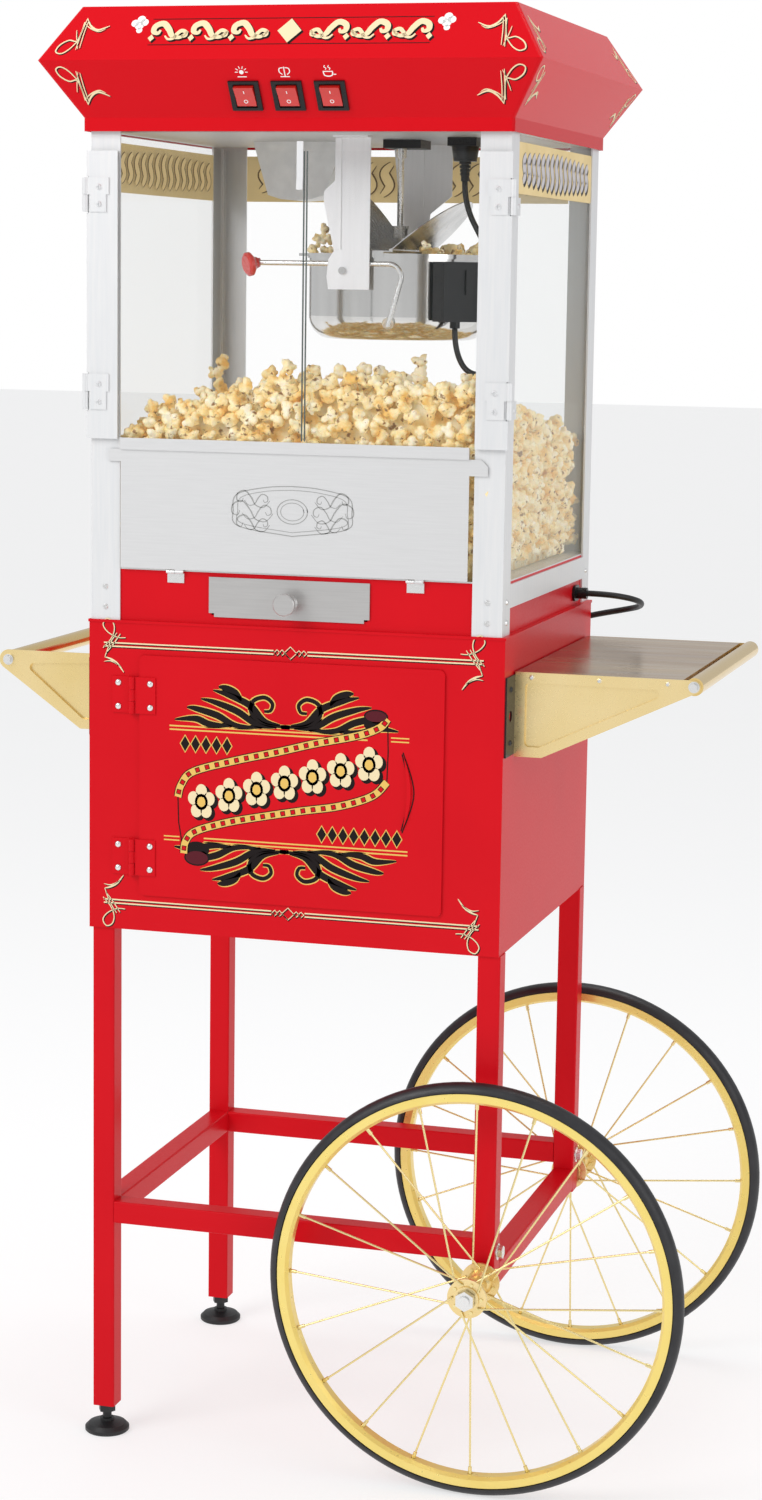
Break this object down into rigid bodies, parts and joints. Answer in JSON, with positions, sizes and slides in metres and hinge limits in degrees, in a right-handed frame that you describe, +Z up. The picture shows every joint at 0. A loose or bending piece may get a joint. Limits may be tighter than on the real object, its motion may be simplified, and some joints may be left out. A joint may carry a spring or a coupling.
{
  "type": "popcorn cart",
  "caption": "Glass-sided popcorn machine with a red hipped canopy and tilting kettle, on a cabinet with legs, feet, spoked wheels, side shelf and push handle.",
  "frame": {"origin": "middle of the footprint on the floor", "axes": "+X to the right toward the wheels and shelf, +Y to the back, +Z up"},
  "size_m": [0.806, 0.58, 1.5765],
  "materials": {
    "red_paint": "gloss",
    "bracket_gold": "satin",
    "black_paint": "satin",
    "frame_aluminium": "satin",
    "stainless": "brushed",
    "zinc": "satin",
    "galvanised": "satin",
    "kettle_steel": "polished",
    "brass": "polished",
    "gold_rim": "gloss",
    "tyre": "matte",
    "gold_spoke": "polished",
    "glass": "clear",
    "sign": "satin",
    "black_plastic": "gloss",
    "red_plastic": "gloss",
    "rubber": "matte",
    "popcorn": "matte",
    "bulb": "frosted"
  },
  "bodies": {
    "cart": {"legs": "red_paint", "rails": "red_paint", "axle": "zinc", "cabinet_shell": "red_paint", "cabinet_fittings": "zinc", "side_brackets": "bracket_gold", "side_bars": "brass", "shelf_plate": "bracket_gold", "bracket_flanges": "black_paint", "machine_base": "red_paint", "popcorn_deck": "stainless", "aluminium_frame": "frame_aluminium", "fixed_panes": "glass", "sign_panels": "sign", "flap_tabs": "stainless", "cord_gland": "black_plastic", "canopy_shell": "red_paint", "switch_bodies": "black_plastic", "ceiling_panel": "frame_aluminium", "gear_motor": "black_paint", "hangers": "galvanised", "lamp_shield": "galvanised", "lamp_bulb": "bulb", "lead_plug": "black_plastic", "kettle_lead": "rubber", "mains_cord": "rubber", "cord_coil": "rubber", "mains_plug": "black_plastic", "popcorn_heap": "popcorn", "fasteners": "zinc"},
    "front_wheel": {"front_wheel_tyre": "tyre", "front_wheel_rim": "gold_rim", "front_wheel_spokes": "gold_spoke", "front_wheel_hub": "gold_spoke"},
    "rear_wheel": {"rear_wheel_tyre": "tyre", "rear_wheel_rim": "gold_rim", "rear_wheel_spokes": "gold_spoke", "rear_wheel_hub": "gold_spoke"},
    "front_levelling_foot": {"front_foot": "rubber"},
    "rear_levelling_foot": {"rear_foot": "rubber"},
    "door": {"cabinet_door": "red_paint", "door_fittings": "zinc"},
    "left_glass_door": {"left_door_pane": "glass", "left_door_frame": "frame_aluminium"},
    "right_glass_door": {"right_door_pane": "glass", "right_door_frame": "frame_aluminium"},
    "flap": {"front_flap": "stainless"},
    "drawer": {"kernel_drawer": "stainless"},
    "light_switch": {"light_rocker": "red_plastic"},
    "stir_switch": {"stir_rocker": "red_plastic"},
    "kettle_switch": {"kettle_rocker": "red_plastic"},
    "lift_sleeve": {"shaft_sleeve": "zinc"},
    "spindle": {"drive_shaft": "zinc"},
    "kettle": {"kettle_pot": "kettle_steel", "kettle_handle": "zinc", "handle_knob": "red_plastic", "terminal_box": "black_plastic"},
    "stirrer": {"kettle_stirrer": "kettle_steel"},
    "left_half_lid": {"left_lid": "kettle_steel"},
    "right_half_lid": {"right_lid": "kettle_steel"}
  },
  "joints": [
    {"name": "front_wheel_spin", "type": "hinge", "parent": "cart", "child": "front_wheel", "pos_m": [0.17445, -0.247, 0.2286], "axis": [0, 1, 0], "continuous": true},
    {"name": "rear_wheel_spin", "type": "hinge", "parent": "cart", "child": "rear_wheel", "pos_m": [0.17445, 0.247, 0.2286], "axis": [0, 1, 0], "continuous": true},
    {"name": "front_foot_height", "type": "slide", "parent": "cart", "child": "front_levelling_foot", "axis": [0, 0, -1], "range_m": [0, 0.012]},
    {"name": "rear_foot_height", "type": "slide", "parent": "cart", "child": "rear_levelling_foot", "axis": [0, 0, -1], "range_m": [0, 0.012]},
    {"name": "cabinet_door_hinge", "type": "hinge", "parent": "cart", "child": "door", "pos_m": [-0.22905, -0.2152, 0.7575], "axis": [0, 0, -1], "range_deg": [0, 110]},
    {"name": "left_glass_door_hinge", "type": "hinge", "parent": "cart", "child": "left_glass_door", "pos_m": [-0.28255, -0.216, 1.277], "axis": [0, 0, -1], "range_deg": [0, 120]},
    {"name": "right_glass_door_hinge", "type": "hinge", "parent": "cart", "child": "right_glass_door", "pos_m": [0.18645, -0.216, 1.277], "axis": [0, 0, 1], "range_deg": [0, 120]},
    {"name": "flap_hinge", "type": "hinge", "parent": "cart", "child": "flap", "pos_m": [-0.05005, -0.2121, 0.983], "axis": [1, 0, 0], "range_deg": [0, 85]},
    {"name": "drawer_slide", "type": "slide", "parent": "cart", "child": "drawer", "axis": [0, -1, 0], "range_m": [0, 0.18]},
    {"name": "light_switch_rock", "type": "hinge", "parent": "cart", "child": "light_switch", "pos_m": [-0.09755, -0.23162, 1.48484], "axis": [-1, 0, 0], "range_deg": [0, 18]},
    {"name": "stir_switch_rock", "type": "hinge", "parent": "cart", "child": "stir_switch", "pos_m": [-0.05085, -0.23162, 1.48484], "axis": [-1, 0, 0], "range_deg": [0, 18]},
    {"name": "kettle_switch_rock", "type": "hinge", "parent": "cart", "child": "kettle_switch", "pos_m": [-0.00415, -0.23162, 1.48484], "axis": [-1, 0, 0], "range_deg": [0, 18]},
    {"name": "kettle_tilt", "type": "hinge", "parent": "cart", "child": "kettle", "pos_m": [-0.02805, 0, 1.306], "axis": [0, -1, 0], "range_deg": [0, 65], "deforming": ["kettle_lead"]},
    {"name": "spindle_lift", "type": "slide", "parent": "cart", "child": "lift_sleeve", "axis": [0, 0, 1], "range_m": [0, 0.107]},
    {"name": "spindle_spin", "type": "hinge", "parent": "lift_sleeve", "child": "spindle", "pos_m": [0.00495, 0, 1.4], "axis": [0, 0, 1], "continuous": true},
    {"name": "stirrer_spin", "type": "hinge", "parent": "kettle", "child": "stirrer", "pos_m": [0.00495, 0, 1.29], "axis": [0, 0, 1], "continuous": true},
    {"name": "left_lid_hinge", "type": "hinge", "parent": "kettle", "child": "left_half_lid", "pos_m": [-0.00955, 0, 1.3286], "axis": [0, 1, 0], "range_deg": [-58, 12]},
    {"name": "right_lid_hinge", "type": "hinge", "parent": "kettle", "child": "right_half_lid", "pos_m": [0.01945, 0, 1.3286], "axis": [0, -1, 0], "range_deg": [-40, 8]}
  ],
  "couplings": [
    {"joint": "spindle_lift", "follows": "kettle_tilt", "m_per_rad": 0.0934},
    {"joint": "right_lid_hinge", "follows": "kettle_tilt", "ratio": -0.61},
    {"joint": "stirrer_spin", "follows": "spindle_spin", "ratio": 1}
  ]
}
